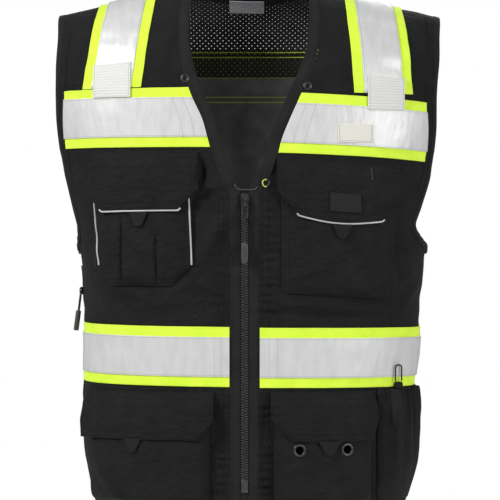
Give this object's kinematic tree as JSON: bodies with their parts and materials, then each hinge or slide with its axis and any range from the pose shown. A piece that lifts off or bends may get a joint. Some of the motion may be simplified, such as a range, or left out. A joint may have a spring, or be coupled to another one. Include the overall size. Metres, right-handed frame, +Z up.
{
  "type": "utility work vest",
  "caption": "Sleeveless V-neck work vest with a front zip, flapped pockets, a side bottle pocket and reflective bands over a mesh and cloth body.",
  "frame": {"origin": "on the vest's middle line, level with the neck points, over the middle of the shoulders' ridge, where a wearer's shoulders carry it", "axes": "+Z up, -Y out of the vest's front, +X to the wearer's left"},
  "size_m": [0.4961, 0.2584, 0.6701],
  "materials": {
    "shell_cloth": "matt black-grey twill",
    "mesh_cloth": "matt black-grey mesh",
    "edging_cloth": "matt black binding",
    "bright_ribbon": "bright yellow-green woven ribbon",
    "reflective_tape": "silver reflective fabric tape, satin",
    "grey_piping": "grey reflective piping, satin",
    "black_cord": "matt black cord",
    "dark_webbing": "matt dark webbing",
    "pull_rubber": "matt black moulded rubber",
    "ribbed_loop": "pale ribbed reflective loop",
    "zip_teeth": "black moulded teeth on woven tape",
    "zip_metal": "black enamelled metal, semi-gloss",
    "grommet_metal": "dark enamelled metal, semi-gloss",
    "cream_patch": "cream, matt",
    "label_cloth": "pale grey satin label"
  },
  "bodies": {
    "vest": {"front_panel_right": "shell_cloth", "front_panel_left": "shell_cloth", "back_panel": "shell_cloth", "zip_placket_right": "shell_cloth", "zip_placket_left": "shell_cloth", "chest_pocket_right": "shell_cloth", "chest_flap_right": "shell_cloth", "chest_pocket_left": "shell_cloth", "chest_flap_left": "shell_cloth", "lower_pocket_right": "shell_cloth", "lower_flap_right": "shell_cloth", "lower_pocket_left": "shell_cloth", "lower_flap_left": "shell_cloth", "bottle_pocket": "shell_cloth", "back_mesh": "mesh_cloth", "neck_facing": "edging_cloth", "arm_binding_right": "edging_cloth", "arm_binding_left": "edging_cloth", "chest_ribbon_right": "bright_ribbon", "chest_ribbon_left": "bright_ribbon", "waist_ribbon_right": "bright_ribbon", "waist_ribbon_left": "bright_ribbon", "shoulder_ribbon_right": "bright_ribbon", "shoulder_ribbon_left": "bright_ribbon", "back_chest_ribbon": "bright_ribbon", "back_waist_ribbon": "bright_ribbon", "chest_tape_right": "reflective_tape", "chest_tape_left": "reflective_tape", "waist_tape_right": "reflective_tape", "waist_tape_left": "reflective_tape", "shoulder_tape_right": "reflective_tape", "shoulder_tape_left": "reflective_tape", "back_chest_tape": "reflective_tape", "back_waist_tape": "reflective_tape", "chest_piping_right": "grey_piping", "chest_piping_left": "grey_piping", "side_piping_outer": "grey_piping", "side_piping_inner": "grey_piping", "draw_cord": "black_cord", "side_pull_cord": "black_cord", "bottle_webbing": "dark_webbing", "chest_tab_right": "pull_rubber", "chest_tab_left": "pull_rubber", "lower_tab_right": "pull_rubber", "lower_tab_left": "pull_rubber", "side_pull_grip": "pull_rubber", "cord_lock": "pull_rubber", "loop_patch": "pull_rubber", "mic_tab_right": "ribbed_loop", "mic_tab_left": "ribbed_loop", "zip_chain": "zip_teeth", "zip_slider": "zip_metal", "side_zip": "zip_metal", "grommet_inner": "grommet_metal", "grommet_outer": "grommet_metal", "id_patch": "cream_patch", "neck_label": "label_cloth"},
    "zip_pull": {"zip_tab": "zip_metal", "zip_pull_cord": "black_cord", "zip_pull_grip": "pull_rubber"}
  },
  "joints": [
    {"name": "zip_pull_hinge", "type": "hinge", "parent": "vest", "child": "zip_pull", "pos_m": [-0.0055, -0.13434, -0.2892], "axis": [-1, 0, 0], "range_deg": [0, 170]}
  ]
}
